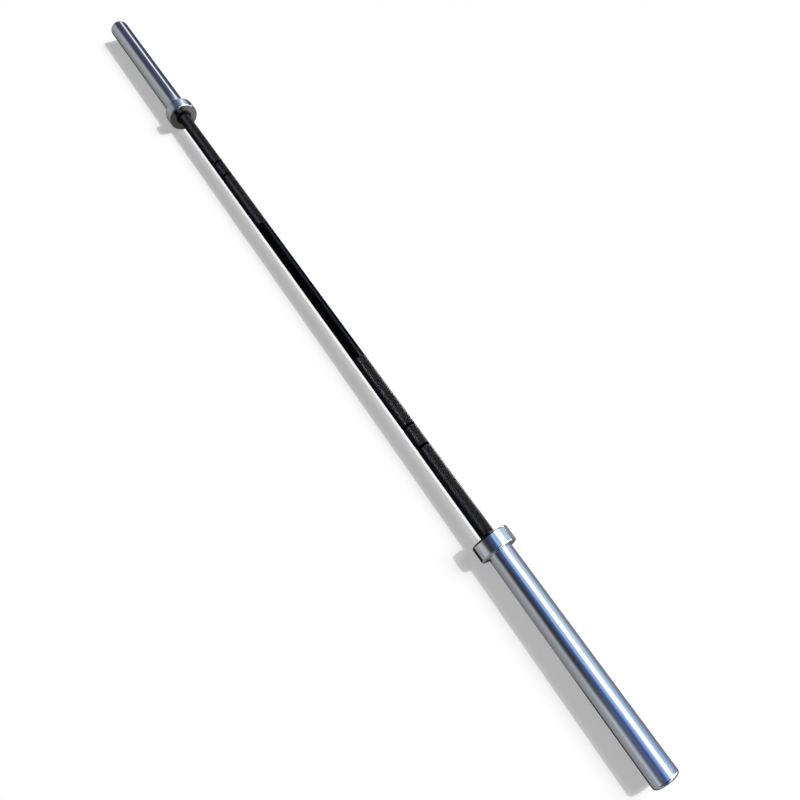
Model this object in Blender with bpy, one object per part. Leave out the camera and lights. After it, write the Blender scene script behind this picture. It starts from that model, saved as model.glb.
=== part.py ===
"""A barbell with sleeves that turn on its shaft, built as separate solids in metres.

The bar lies along X with +Z up, and the origin is on its axis at the middle of the shaft.
A station is a distance from that middle along the bar. Both sides are built by the same
functions from the same stations, so the left side mirrors the right.
"""
import math

import bmesh
import bpy
from mathutils import Vector

# Sizes of the bar as a lifter knows it
COLLAR_SPAN = 1.310
COLLAR_WIDTH = 0.032
LOADABLE_LENGTH = 0.413
SHAFT_DIAMETER = 0.0285
SLEEVE_DIAMETER = 0.050
COLLAR_DIAMETER = 0.076

# Knurl, smooth centre and the two pairs of ring marks
SMOOTH_CENTRE = 0.430
RING_MARK_SPANS = (0.795, 0.896)
RING_MARK_WIDTH = 0.005
RING_MARK_DEPTH = 0.0006
KNURL_HEIGHT = 0.0003
KNURL_TO_COLLAR = 0.006
KNURL_RUN_OUT = 0.001

# Turned edges
SLEEVE_END_ROUND = 0.0044
SLEEVE_START_CHAMFER = 0.0006
COLLAR_OUTER_ROUND = 0.0042
COLLAR_INNER_ROUND = 0.0030
SHOULDER_CHAMFER = 0.0006
SHAFT_END_CHAMFER = 0.0015
WASHER_CHAMFER = 0.0003
BUSHING_CHAMFER = 0.0004

# Bearing at each end of a sleeve
JOURNAL_DIAMETER = 0.025
BUSHING_DIAMETER = 0.032
BUSHING_LENGTH = 0.040
SLEEVE_BORE = 0.0302
WASHER_DIAMETER = 0.0340
WASHER_THICKNESS = 0.0020
INNER_FLANGE_DIAMETER = 0.0410
INNER_FLANGE_FLOOR = 0.0025
INNER_FLANGE_INSET = 0.0006
COLLAR_LIP = 0.006
OUTER_FLANGE_THICKNESS = 0.003
WAVE_WASHER_SHEET = 0.0005
WAVE_HEIGHT = 0.0004
WAVE_COUNT = 3

# Snap ring that holds the sleeve on the shaft
SHAFT_RING_THICKNESS = 0.0015
SHAFT_RING_DEPTH = 0.0012
SHAFT_RING_WIDTH = 0.0028
SHAFT_RING_LAND = 0.004
SHAFT_TO_CAP = 0.004

# Cap in the end of a sleeve, its seal and its snap ring
CAP_DIAMETER = 0.0375
CAP_THICKNESS = 0.008
CAP_DISH_DIAMETER = 0.028
CAP_DISH_DEPTH = 0.0012
CAP_HOLLOW_DIAMETER = 0.024
CAP_HOLLOW_DEPTH = 0.004
CAP_CHAMFER = 0.0006
CAP_RING_THICKNESS = 0.0015
CAP_RING_DEPTH = 0.0012
CAP_RING_WIDTH = 0.0028
CAP_RING_LAND = 0.0025
MOUTH_CHAMFER = 0.0005
O_RING_SECTION = 0.0018

# Ears of the snap rings, as angles about the axis and sizes
RING_GAP_ANGLE = math.radians(16)
EAR_ANGLE = math.radians(17)
EAR_HEIGHT = 0.0022
EAR_HOLE_DIAMETER = 0.0018

# Clearances: GAP where pieces touch, CAVITY_CLEARANCE where one turns inside another
GAP = 0.0003
CAVITY_CLEARANCE = 0.0008

# Facets of a full turn, and of a rounded edge and the seal's round section
SEGMENTS = 32
ROUND_STEPS = 4
O_RING_SEGMENTS = 8
EAR_HOLE_SEGMENTS = 8
EAR_STEPS = 3
SHARP_ANGLE = math.radians(32)

# Radii that follow
SHAFT_RADIUS = SHAFT_DIAMETER / 2
JOURNAL_RADIUS = JOURNAL_DIAMETER / 2
SLEEVE_RADIUS = SLEEVE_DIAMETER / 2
BUSHING_RADIUS = BUSHING_DIAMETER / 2
WASHER_RADIUS = WASHER_DIAMETER / 2
CAP_RADIUS = CAP_DIAMETER / 2
RUNNING_BORE = JOURNAL_RADIUS + GAP
BUSHING_SEAT = BUSHING_RADIUS + GAP
CAVITY_RADIUS = WASHER_RADIUS + CAVITY_CLEARANCE
CAP_BORE = CAP_RADIUS + GAP

# Stations at the collar, from the middle outwards
COLLAR_IN = COLLAR_SPAN / 2
LIP_END = COLLAR_IN + COLLAR_LIP
SLEEVE_IN = LIP_END + GAP
COLLAR_OUT = COLLAR_IN + COLLAR_WIDTH
BAR_END = COLLAR_OUT + LOADABLE_LENGTH
INNER_FLANGE_IN = COLLAR_IN + INNER_FLANGE_INSET
INNER_FLANGE_DISH = LIP_END - INNER_FLANGE_FLOOR
INNER_WASHER_OUT = INNER_FLANGE_DISH - GAP
INNER_WASHER_IN = INNER_WASHER_OUT - WASHER_THICKNESS
SHOULDER = INNER_WASHER_IN - GAP
INNER_BUSHING_OUT = LIP_END + BUSHING_LENGTH

# Stations at the end of the sleeve, from the end inwards
CAP_GROOVE_OUT = BAR_END - CAP_RING_LAND
CAP_GROOVE_IN = CAP_GROOVE_OUT - CAP_RING_THICKNESS - 2 * GAP
CAP_OUT = CAP_GROOVE_IN
CAP_IN = CAP_OUT - CAP_THICKNESS
CAP_LEDGE = CAP_IN - GAP
SHAFT_END = CAP_LEDGE - SHAFT_TO_CAP
SHAFT_GROOVE_OUT = SHAFT_END - SHAFT_RING_LAND
SHAFT_GROOVE_IN = SHAFT_GROOVE_OUT - SHAFT_RING_THICKNESS - 2 * GAP
WAVE_WASHER_OUT = SHAFT_GROOVE_IN
WAVE_WASHER_IN = WAVE_WASHER_OUT - WAVE_WASHER_SHEET - 2 * WAVE_HEIGHT
OUTER_WASHER_OUT = WAVE_WASHER_IN - GAP
OUTER_WASHER_IN = OUTER_WASHER_OUT - WASHER_THICKNESS
OUTER_FLANGE_OUT = OUTER_WASHER_IN - GAP
OUTER_FLANGE_IN = OUTER_FLANGE_OUT - OUTER_FLANGE_THICKNESS
CAVITY_FLOOR = OUTER_FLANGE_IN - GAP
OUTER_BUSHING_IN = OUTER_FLANGE_IN - BUSHING_LENGTH

# Colour, roughness and metallic value of each finish
CHROME = ((0.78, 0.80, 0.84), 0.08, 1.0)
TURNED_CHROME = ((0.62, 0.63, 0.65), 0.28, 1.0)
BLACK_OXIDE = ((0.012, 0.012, 0.016), 0.38, 0.6)
BRONZE = ((0.62, 0.36, 0.16), 0.35, 1.0)
DARK_STEEL = ((0.05, 0.05, 0.055), 0.45, 0.9)
SPRING_STEEL = ((0.08, 0.08, 0.085), 0.40, 1.0)
BLACK_RUBBER = ((0.015, 0.015, 0.015), 0.75, 0.0)


def clear_scene():
    """Removes every object of the scene that the script runs in."""
    for item in list(bpy.data.objects):
        bpy.data.objects.remove(item, do_unlink=True)


def over_flats(radius):
    """The radius to the corners of a faceted ring whose flats lie at the given radius."""
    return radius / math.cos(math.pi / SEGMENTS)


def edge_points(station, radius, size, facing, steps=ROUND_STEPS):
    """A rounded edge between a turned surface and an end face, in order of the outline.

    facing is 1 where the face looks towards the bar's end and -1 where it looks to the middle.
    One step makes the edge a chamfer.
    """
    turns = [math.pi / 2 * step / steps for step in range(steps + 1)]
    points = [
        (station - facing * size * (1 - math.sin(turn)), radius - size * (1 - math.cos(turn)))
        for turn in turns
    ]
    return points if facing > 0 else points[::-1]


def groove_points(low, high, surface, bottom):
    """A square groove between two stations, cut from one radius to another."""
    return [(low, surface), (low, bottom), (high, bottom), (high, surface)]


def turned(outline, side):
    """A mesh turned about the bar's axis from (station, radius) points.

    An outline that starts and ends on the axis is left open there. Any other is a closed loop.
    The first meridian is half a facet off, so that a flat lies at the top and at the bottom.
    """
    mesh = bmesh.new()
    lean = math.pi / SEGMENTS
    points = [
        mesh.verts.new((side * station, radius * math.sin(lean), radius * math.cos(lean)))
        for station, radius in outline
    ]
    pairs = list(zip(points, points[1:]))
    if outline[0][1] > 0:
        pairs.append((points[-1], points[0]))
    edges = [mesh.edges.new(pair) for pair in pairs]
    bmesh.ops.spin(
        mesh, geom=points + edges, cent=(0, 0, 0), axis=(1, 0, 0),
        angle=2 * math.pi, steps=SEGMENTS, use_merge=True,
    )
    bmesh.ops.remove_doubles(mesh, verts=mesh.verts, dist=1e-6)
    bmesh.ops.dissolve_degenerate(mesh, edges=mesh.edges, dist=1e-6)
    return mesh


def plate(loops, low, high, side):
    """A flat plate across the axis: an outline and its holes as (y, z) loops, between two stations."""
    mesh = bmesh.new()
    edges = []
    for loop in loops:
        points = [mesh.verts.new((side * low, y, z)) for y, z in loop]
        edges += [mesh.edges.new(pair) for pair in zip(points, points[1:] + points[:1])]
    bmesh.ops.triangle_fill(mesh, edges=edges, use_beauty=True)
    top = bmesh.ops.extrude_face_region(mesh, geom=mesh.faces[:] + mesh.edges[:] + mesh.verts[:])
    moved = [item for item in top["geom"] if isinstance(item, bmesh.types.BMVert)]
    bmesh.ops.translate(mesh, verts=moved, vec=(side * (high - low), 0, 0))
    return mesh


def principled(name, finish):
    """A Principled material with a finish's colour, roughness and metallic value."""
    colour, roughness, metallic = finish
    material = bpy.data.materials.new(name)
    material.use_nodes = True
    shader = material.node_tree.nodes["Principled BSDF"]
    shader.inputs["Base Color"].default_value = (*colour, 1)
    shader.inputs["Roughness"].default_value = roughness
    shader.inputs["Metallic"].default_value = metallic
    material.diffuse_color = (*colour, 1)
    return material


def piece(name, mesh, station, finish, carrier=None):
    """Turns a mesh into a named object whose origin is on the axis at its own station."""
    place = Vector((station, 0, 0))
    bmesh.ops.translate(mesh, verts=mesh.verts, vec=-place)
    bmesh.ops.recalc_face_normals(mesh, faces=mesh.faces)
    data = bpy.data.meshes.new(name)
    mesh.to_mesh(data)
    mesh.free()
    data.shade_smooth()
    data.set_sharp_from_angle(angle=SHARP_ANGLE)
    data.materials.append(principled(name + "_finish", finish))
    item = bpy.data.objects.new(name, data)
    bpy.context.collection.objects.link(item)
    item.location = place - carrier.location if carrier else place
    item.parent = carrier
    return item


def pivot(name, station):
    """An empty on the axis that the pieces of a sleeve hang from and turn with."""
    item = bpy.data.objects.new(name, None)
    item.empty_display_type = "ARROWS"
    item.empty_display_size = COLLAR_DIAMETER
    item.location = (station, 0, 0)
    bpy.context.collection.objects.link(item)
    return item


def half_shaft_outline():
    """Outline of the shaft from its smooth centre to one end, as (station, radius) points."""
    knurl = SHAFT_RADIUS + KNURL_HEIGHT
    knurl_end = COLLAR_IN - KNURL_TO_COLLAR
    outline = [(SMOOTH_CENTRE / 2, SHAFT_RADIUS), (SMOOTH_CENTRE / 2 + KNURL_RUN_OUT, knurl)]
    for span in sorted(RING_MARK_SPANS):
        low = (span - RING_MARK_WIDTH) / 2
        high = (span + RING_MARK_WIDTH) / 2
        if low > outline[-1][0] and high < knurl_end - KNURL_RUN_OUT:
            outline += groove_points(low, high, knurl, knurl - RING_MARK_DEPTH)
    outline += [(knurl_end - KNURL_RUN_OUT, knurl), (knurl_end, SHAFT_RADIUS)]
    outline += edge_points(SHOULDER, SHAFT_RADIUS, SHOULDER_CHAMFER, 1, steps=1)
    outline.append((SHOULDER, JOURNAL_RADIUS))
    outline += groove_points(
        SHAFT_GROOVE_IN, SHAFT_GROOVE_OUT, JOURNAL_RADIUS, JOURNAL_RADIUS - SHAFT_RING_DEPTH,
    )
    outline += edge_points(SHAFT_END, JOURNAL_RADIUS, SHAFT_END_CHAMFER, 1, steps=1)
    outline.append((SHAFT_END, 0))
    return outline


def build_shaft():
    """The one-piece shaft: smooth centre, knurl, ring marks, and a thinner journal at each end."""
    half = half_shaft_outline()
    mirrored = [(-station, radius) for station, radius in reversed(half)]
    return piece("shaft", turned(mirrored + half, 1), 0, BLACK_OXIDE)


def sleeve_outline():
    """The tube that takes the plates, with a seat for a bushing at each end and the cap's mouth."""
    outline = [(SLEEVE_IN, BUSHING_SEAT)]
    outline += edge_points(SLEEVE_IN, SLEEVE_RADIUS, SLEEVE_START_CHAMFER, -1, steps=1)
    outline += edge_points(BAR_END, SLEEVE_RADIUS, SLEEVE_END_ROUND, 1)
    outline += [(BAR_END, CAP_BORE + MOUTH_CHAMFER), (BAR_END - MOUTH_CHAMFER, CAP_BORE)]
    outline += groove_points(CAP_GROOVE_OUT, CAP_GROOVE_IN, CAP_BORE, CAP_BORE + CAP_RING_DEPTH)
    outline += [(CAP_LEDGE, CAP_BORE), (CAP_LEDGE, CAVITY_RADIUS)]
    outline += [(CAVITY_FLOOR, CAVITY_RADIUS), (CAVITY_FLOOR, BUSHING_SEAT)]
    outline += groove_points(
        OUTER_BUSHING_IN - GAP, INNER_BUSHING_OUT + GAP, BUSHING_SEAT, SLEEVE_BORE / 2,
    )
    return outline


def collar_outline():
    """The ring on the sleeve's inner end, whose lip covers the end of the tube."""
    corner = over_flats(COLLAR_DIAMETER / 2)
    lip_bore = INNER_FLANGE_DIAMETER / 2 + GAP
    tube_bore = SLEEVE_RADIUS + GAP
    outline = [(COLLAR_IN, lip_bore)]
    outline += edge_points(COLLAR_IN, corner, COLLAR_INNER_ROUND, -1, steps=2)
    outline += edge_points(COLLAR_OUT, corner, COLLAR_OUTER_ROUND, 1)
    outline += [(COLLAR_OUT, tube_bore), (LIP_END, tube_bore), (LIP_END, lip_bore)]
    return outline


def inner_bushing_outline():
    """The bronze bushing at the collar: its dished flange shows as a ring around the shaft."""
    flange = INNER_FLANGE_DIAMETER / 2
    dish = WASHER_RADIUS + GAP
    return [
        (INNER_FLANGE_DISH, RUNNING_BORE),
        (INNER_FLANGE_DISH, dish),
        (INNER_FLANGE_IN, dish),
        *edge_points(INNER_FLANGE_IN, flange, BUSHING_CHAMFER, -1, steps=1),
        (LIP_END, flange),
        (LIP_END, BUSHING_RADIUS),
        *edge_points(INNER_BUSHING_OUT, BUSHING_RADIUS, BUSHING_CHAMFER, 1, steps=1),
        (INNER_BUSHING_OUT, RUNNING_BORE),
    ]


def outer_bushing_outline():
    """The bronze bushing near the bar's end, with the flange that takes the end thrust."""
    return [
        (OUTER_BUSHING_IN, RUNNING_BORE),
        *edge_points(OUTER_BUSHING_IN, BUSHING_RADIUS, BUSHING_CHAMFER, -1, steps=1),
        (OUTER_FLANGE_IN, BUSHING_RADIUS),
        (OUTER_FLANGE_IN, WASHER_RADIUS),
        *edge_points(OUTER_FLANGE_OUT, WASHER_RADIUS, BUSHING_CHAMFER, 1, steps=1),
        (OUTER_FLANGE_OUT, RUNNING_BORE),
    ]


def washer_outline(low, high):
    """A flat thrust washer between two stations, its outer edges chamfered."""
    return [
        (low, RUNNING_BORE),
        *edge_points(low, WASHER_RADIUS, WASHER_CHAMFER, -1, steps=1),
        *edge_points(high, WASHER_RADIUS, WASHER_CHAMFER, 1, steps=1),
        (high, RUNNING_BORE),
    ]


def end_cap_outline():
    """The steel plug: a dished outer face, a groove for the seal and a hollow back."""
    seal_bottom = CAP_BORE - O_RING_SECTION - 2 * GAP
    seal_half = O_RING_SECTION / 2 + GAP
    seal_station = (CAP_IN + CAP_OUT) / 2
    return [
        (CAP_IN + CAP_HOLLOW_DEPTH, 0),
        (CAP_IN + CAP_HOLLOW_DEPTH, CAP_HOLLOW_DIAMETER / 2),
        (CAP_IN, CAP_HOLLOW_DIAMETER / 2),
        *edge_points(CAP_IN, CAP_RADIUS, CAP_CHAMFER, -1, steps=1),
        *groove_points(seal_station - seal_half, seal_station + seal_half, CAP_RADIUS, seal_bottom),
        *edge_points(CAP_OUT, CAP_RADIUS, CAP_CHAMFER, 1, steps=1),
        (CAP_OUT, CAP_DISH_DIAMETER / 2),
        (CAP_OUT - CAP_DISH_DEPTH, CAP_DISH_DIAMETER / 2 - CAP_DISH_DEPTH),
        (CAP_OUT - CAP_DISH_DEPTH, 0),
    ]


def o_ring_outline():
    """The round section of the rubber seal, centred in the cap's groove."""
    middle = (CAP_IN + CAP_OUT) / 2
    radius = CAP_BORE - GAP - O_RING_SECTION / 2
    turns = [2 * math.pi * step / O_RING_SEGMENTS for step in range(O_RING_SEGMENTS)]
    return [
        (middle + O_RING_SECTION / 2 * math.cos(turn), radius + O_RING_SECTION / 2 * math.sin(turn))
        for turn in turns
    ]


def wave_washer(side):
    """A thin spring washer whose sheet rises and falls in even waves round the shaft."""
    mesh = bmesh.new()
    middle = (WAVE_WASHER_IN + WAVE_WASHER_OUT) / 2
    rings = []
    for step in range(SEGMENTS):
        turn = 2 * math.pi * step / SEGMENTS
        crest = middle + WAVE_HEIGHT * math.cos(WAVE_COUNT * turn)
        section = [
            (crest - WAVE_WASHER_SHEET / 2, RUNNING_BORE),
            (crest - WAVE_WASHER_SHEET / 2, WASHER_RADIUS),
            (crest + WAVE_WASHER_SHEET / 2, WASHER_RADIUS),
            (crest + WAVE_WASHER_SHEET / 2, RUNNING_BORE),
        ]
        rings.append([
            mesh.verts.new((side * station, radius * math.sin(turn), radius * math.cos(turn)))
            for station, radius in section
        ])
    for ring, after in zip(rings, rings[1:] + rings[:1]):
        for corner in range(4):
            following = (corner + 1) % 4
            mesh.faces.new((ring[corner], ring[following], after[following], after[corner]))
    return mesh


def around(radius, start, end, steps):
    """Points on a circle about the axis as (y, z), from one angle to another, from the top."""
    turns = [start + (end - start) * step / steps for step in range(steps + 1)]
    return [(radius * math.sin(turn), radius * math.cos(turn)) for turn in turns]


def snap_ring_loops(plain, eared):
    """An open ring with an ear and a hole at each end, as (y, z) loops.

    plain is the radius of its smooth edge, and eared that of the edge that the ears stand on.
    """
    outward = math.copysign(1, eared - plain)
    tip = eared + outward * EAR_HEIGHT
    low = RING_GAP_ANGLE / 2
    high = 2 * math.pi - low
    outline = around(tip, low, low + EAR_ANGLE, EAR_STEPS)
    outline += around(eared, low + EAR_ANGLE, high - EAR_ANGLE, SEGMENTS)
    outline += around(tip, high - EAR_ANGLE, high, EAR_STEPS)
    outline += around(plain, high, low, SEGMENTS)
    hole_radius = (eared + tip) / 2
    holes = []
    for turn in (low + EAR_ANGLE / 2, high - EAR_ANGLE / 2):
        y, z = around(hole_radius, turn, turn, 1)[0]
        circle = around(EAR_HOLE_DIAMETER / 2, 0, 2 * math.pi, EAR_HOLE_SEGMENTS)[:-1]
        holes.append([(y + dy, z + dz) for dy, dz in circle])
    return [outline, *holes]


def build_sleeve_side(word, side):
    """All pieces of one side that turn with the sleeve."""
    carrier = pivot(word + "_sleeve_axis", side * COLLAR_IN)
    pieces = [
        ("sleeve", sleeve_outline(), SLEEVE_IN, CHROME),
        ("collar", collar_outline(), COLLAR_IN, CHROME),
        ("inner_bushing", inner_bushing_outline(), INNER_FLANGE_IN, BRONZE),
        ("inner_thrust_washer", washer_outline(INNER_WASHER_IN, INNER_WASHER_OUT), INNER_WASHER_IN,
         DARK_STEEL),
        ("outer_bushing", outer_bushing_outline(), OUTER_BUSHING_IN, BRONZE),
        ("outer_thrust_washer", washer_outline(OUTER_WASHER_IN, OUTER_WASHER_OUT), OUTER_WASHER_IN,
         DARK_STEEL),
        ("end_cap", end_cap_outline(), CAP_IN, TURNED_CHROME),
        ("end_cap_seal", o_ring_outline(), CAP_IN, BLACK_RUBBER),
    ]
    for name, outline, station, finish in pieces:
        piece(f"{name}_{word}", turned(outline, side), side * station, finish, carrier)
    groove = CAP_BORE + CAP_RING_DEPTH
    loops = snap_ring_loops(groove - GAP, groove - GAP - CAP_RING_WIDTH)
    ring = plate(loops, CAP_GROOVE_IN + GAP, CAP_GROOVE_OUT - GAP, side)
    piece("end_cap_snap_ring_" + word, ring, side * CAP_GROOVE_IN, SPRING_STEEL, carrier)


def build_shaft_side(word, side):
    """The pieces of one side that stay on the shaft and hold the sleeve on it."""
    groove = JOURNAL_RADIUS - SHAFT_RING_DEPTH
    loops = snap_ring_loops(groove + GAP, groove + GAP + SHAFT_RING_WIDTH)
    ring = plate(loops, SHAFT_GROOVE_IN + GAP, SHAFT_GROOVE_OUT - GAP, side)
    piece("shaft_snap_ring_" + word, ring, side * SHAFT_GROOVE_IN, SPRING_STEEL)
    piece("wave_washer_" + word, wave_washer(side), side * WAVE_WASHER_IN, SPRING_STEEL)


def main():
    """Builds the shaft and both sides."""
    clear_scene()
    build_shaft()
    for word, side in (("left", -1), ("right", 1)):
        build_shaft_side(word, side)
        build_sleeve_side(word, side)


main()
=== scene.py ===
"""The looks of a barbell: black knurled shaft, chrome sleeves and collars, bearings and caps.

The bar lies along X with +Z up, and the origin is on its axis at the middle of the shaft. A
station is a distance from that middle along the bar, and an outline is a run of (station,
radius) points that is turned about the axis. Both sides are made by the same classes, from
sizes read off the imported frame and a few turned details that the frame's boxes don't give.
"""

import logging
import math
from dataclasses import dataclass
from enum import Enum
from typing import NamedTuple, Sequence

import bpy
import numpy as np
from mathutils import Matrix, Vector


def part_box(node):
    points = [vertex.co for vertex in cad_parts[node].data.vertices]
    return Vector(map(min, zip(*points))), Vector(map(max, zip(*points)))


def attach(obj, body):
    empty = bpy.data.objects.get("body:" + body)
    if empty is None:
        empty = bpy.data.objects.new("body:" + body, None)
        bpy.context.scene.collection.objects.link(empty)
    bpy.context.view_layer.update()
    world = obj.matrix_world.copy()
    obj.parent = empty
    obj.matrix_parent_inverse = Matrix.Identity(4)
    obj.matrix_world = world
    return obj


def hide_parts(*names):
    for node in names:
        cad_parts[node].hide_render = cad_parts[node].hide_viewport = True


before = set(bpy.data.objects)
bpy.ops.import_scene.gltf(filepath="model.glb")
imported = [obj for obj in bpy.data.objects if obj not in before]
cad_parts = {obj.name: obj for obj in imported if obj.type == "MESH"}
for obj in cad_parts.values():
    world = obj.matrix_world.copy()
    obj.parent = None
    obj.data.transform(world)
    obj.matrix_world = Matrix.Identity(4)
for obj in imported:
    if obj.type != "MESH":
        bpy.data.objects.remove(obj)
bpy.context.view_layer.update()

LOG = logging.getLogger("barbell")

Triple = tuple[float, float, float]
Colour = Triple

# A CAD ring has this many facets, with its corners at the nominal radius
CAD_FACETS = 32
FLAT_SHARE = math.cos(math.pi / CAD_FACETS)

# Clearance between pieces that touch or turn in one another
GAP = 0.0003

# Radii of small edges, from the crispest to the softest
CRISP_EDGE = 5e-5
FINE_EDGE = 1e-4
BROKEN_EDGE = 2e-4
EASED_EDGE = 3e-4
SOFT_EDGE = 5e-4

# Points of a rounded edge, and how far from it the next point lies, as a share of its radius
ROUND_STEPS = 8
SUPPORT_SHARE = 0.12
SHARP_ANGLE = math.radians(40)

# Smallest half angle and sine that rounding divides by, and the shortest step that it keeps
LEAST_ANGLE = 1e-6
LEAST_SINE = 1e-9
LEAST_STEP = 1e-7

# Facets round the large turned pieces, the small ones and the snap rings' lugs
LARGE_SEGMENTS = 192
SMALL_SEGMENTS = 128
LUG_SEGMENTS = 48

# A Mix node keeps its colour sockets behind those of its other kinds of data
MIX_LOW, MIX_HIGH, MIX_RESULT = 6, 7, 2


class Side(Enum):
    """The two ends of the bar, with the sign of their stations along X."""

    LEFT = -1
    RIGHT = 1

    @property
    def word(self) -> str:
        """The side's name as the CAD nodes spell it."""
        return self.name.lower()

    @property
    def body(self) -> str:
        """The CAD body that turns on this end of the shaft."""
        return f"{self.word}_sleeve"


class Shading(Enum):
    """How light runs over the facets of a surface."""

    SMOOTH = "smooth"
    FACETED = "faceted"


@dataclass(frozen=True)
class Extent:
    """Where a CAD node starts and ends along the bar, and its outer radius.

    inner and outer are stations, radius is the nominal one at the corners of the facets, and
    flats is the radius at the middle of a facet.
    """

    inner: float
    outer: float
    radius: float
    flats: float

    @classmethod
    def of(cls, node: str) -> "Extent":
        """Reads a node's extent off the frame.

        Args:
            node: The CAD node's name.

        Returns:
            Its stations and radii, in metres.
        """
        low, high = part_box(node)
        ends = sorted((abs(low.x), abs(high.x)))
        return cls(ends[0], ends[1], high.z / FLAT_SHARE, high.z)


class Corner(NamedTuple):
    """A corner of an outline, and the radius of the arc that rounds it."""

    station: float
    radius: float
    rounding: float = 0.0


@dataclass
class Surface:
    """A closed surface as whole arrays: points, four-sided faces and triangles."""

    points: np.ndarray
    quads: np.ndarray
    triangles: np.ndarray

    def volume(self) -> float:
        """The enclosed volume: a sixth of the sum of the triple products of all triangles.

        Returns:
            The volume, in cubic metres, negative where the faces point inwards.
        """
        halves = (self.quads[:, (0, 1, 2)], self.quads[:, (0, 2, 3)], self.triangles)
        a, b, c = (self.points[np.concatenate(halves)[:, index]] for index in range(3))
        return float(np.einsum("ij,ij->", a, np.cross(b, c)) / 6)

    def outward(self) -> "Surface":
        """The same surface with its faces pointing outwards, where the volume is positive.

        Returns:
            This surface, or a turned round one.
        """
        if self.volume() >= 0:
            return self
        return Surface(self.points, self.quads[:, ::-1], self.triangles[:, ::-1])

    @staticmethod
    def joined(parts: Sequence["Surface"]) -> "Surface":
        """Several closed surfaces as one.

        Args:
            parts: The surfaces, each closed by itself.

        Returns:
            One surface with all their points and faces.
        """
        starts = np.cumsum([0] + [len(part.points) for part in parts])
        return Surface(
            np.concatenate([part.points for part in parts]),
            np.concatenate([part.quads + start for part, start in zip(parts, starts)]),
            np.concatenate([part.triangles + start for part, start in zip(parts, starts)]),
        )

    def to_mesh(self, name: str) -> bpy.types.Mesh:
        """Puts the arrays into a mesh.

        Args:
            name: The mesh's name.

        Returns:
            The mesh, with its edges worked out.
        """
        corners = np.concatenate((self.quads.ravel(), self.triangles.ravel())).astype(np.int32)
        sizes = np.repeat((4, 3), (len(self.quads), len(self.triangles)))
        starts = np.concatenate(((0,), np.cumsum(sizes)[:-1])).astype(np.int32)
        mesh = bpy.data.meshes.new(name)
        mesh.vertices.add(len(self.points))
        mesh.vertices.foreach_set("co", self.points.astype(np.float32).ravel())
        mesh.loops.add(len(corners))
        mesh.loops.foreach_set("vertex_index", corners)
        mesh.polygons.add(len(sizes))
        mesh.polygons.foreach_set("loop_start", starts)
        mesh.update(calc_edges=True)
        mesh.validate()
        return mesh


NO_TRIANGLES = np.zeros((0, 3), int)


def unit(vectors: np.ndarray) -> np.ndarray:
    """The vectors at length one; a vector of no length stays as it is."""
    length = np.linalg.norm(vectors, axis=-1, keepdims=True)
    return vectors / np.where(length > 0, length, 1)


def rounded(corners: Sequence[Corner], closed: bool = True) -> np.ndarray:
    """The points of an outline whose corners are rounded by arcs.

    At a corner P, with unit vectors u and v towards its neighbours and half the angle between
    them h, an arc of radius r touches both sides at r / tan(h) from P, and its centre lies at
    r / sin(h) from P on the line that halves the angle. The arc's points turn evenly from one
    touching point to the other. One more point lies a little way along each side, so that
    smooth shading stays flat on it.

    Args:
        corners: The corners in order.
        closed: True where the last corner joins the first.

    Returns:
        The outline's (station, radius) points as an array.
    """
    place = np.array([(corner.station, corner.radius) for corner in corners])
    size = np.array([corner.rounding for corner in corners])[:, None]
    before = unit(np.roll(place, 1, axis=0) - place)
    after = unit(np.roll(place, -1, axis=0) - place)
    half = np.arccos(np.clip(np.sum(before * after, axis=1), -1, 1))[:, None] / 2
    half = np.maximum(half, LEAST_ANGLE)
    if not closed:
        size[[0, -1]] = 0
    reach = size / np.tan(half)
    centre = place + unit(before + after) * size / np.sin(half)
    start = place + before * reach - centre
    end = place + after * reach - centre
    sweep = math.pi - 2 * half[:, :, None]
    share = np.linspace(0, 1, ROUND_STEPS + 1)[None, :, None]
    arc = np.sin((1 - share) * sweep) * start[:, None] + np.sin(share * sweep) * end[:, None]
    arc = centre[:, None] + arc / np.maximum(np.sin(sweep), LEAST_SINE)
    support = reach + SUPPORT_SHARE * size
    first = (place + before * support)[:, None]
    last = (place + after * support)[:, None]
    points = np.concatenate((first, arc, last), axis=1).reshape(-1, 2)
    step = np.linalg.norm(points - np.roll(points, 1, axis=0), axis=1)
    keep = step > LEAST_STEP
    keep[0] = keep[0] or not closed
    return points[keep]


def grid_faces(rows: int, columns: int, loop_rows: bool) -> np.ndarray:
    """The four-sided faces of a grid whose columns close into a ring.

    Args:
        rows: How many rings of points there are.
        columns: How many points a ring has.
        loop_rows: True where the last ring joins the first.

    Returns:
        The faces as indices of points, where point (row, column) is row * columns + column.
    """
    row = np.arange(rows if loop_rows else rows - 1)[:, None]
    column = np.arange(columns)[None, :]
    above = (row + 1) % rows
    beside = (column + 1) % columns
    faces = (
        row * columns + column,
        row * columns + beside,
        above * columns + beside,
        above * columns + column,
    )
    return np.stack(np.broadcast_arrays(*faces), axis=-1).reshape(-1, 4)


def about_axis(
    side: Side, station: np.ndarray | float, radius: np.ndarray | float,
    angle: np.ndarray | float,
) -> np.ndarray:
    """Points about the bar's axis.

    The point at station s, radius r and angle a lies at (side * s, r sin a, r cos a).

    Args:
        side: The end of the bar that they belong to.
        station: Their stations.
        radius: Their distances from the axis.
        angle: Their angles from straight up.

    Returns:
        The points, in an array of the shape that the three have together.
    """
    station, radius, angle = np.broadcast_arrays(station, radius, angle)
    return np.stack((side.value * station, radius * np.sin(angle), radius * np.cos(angle)), -1)


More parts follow.
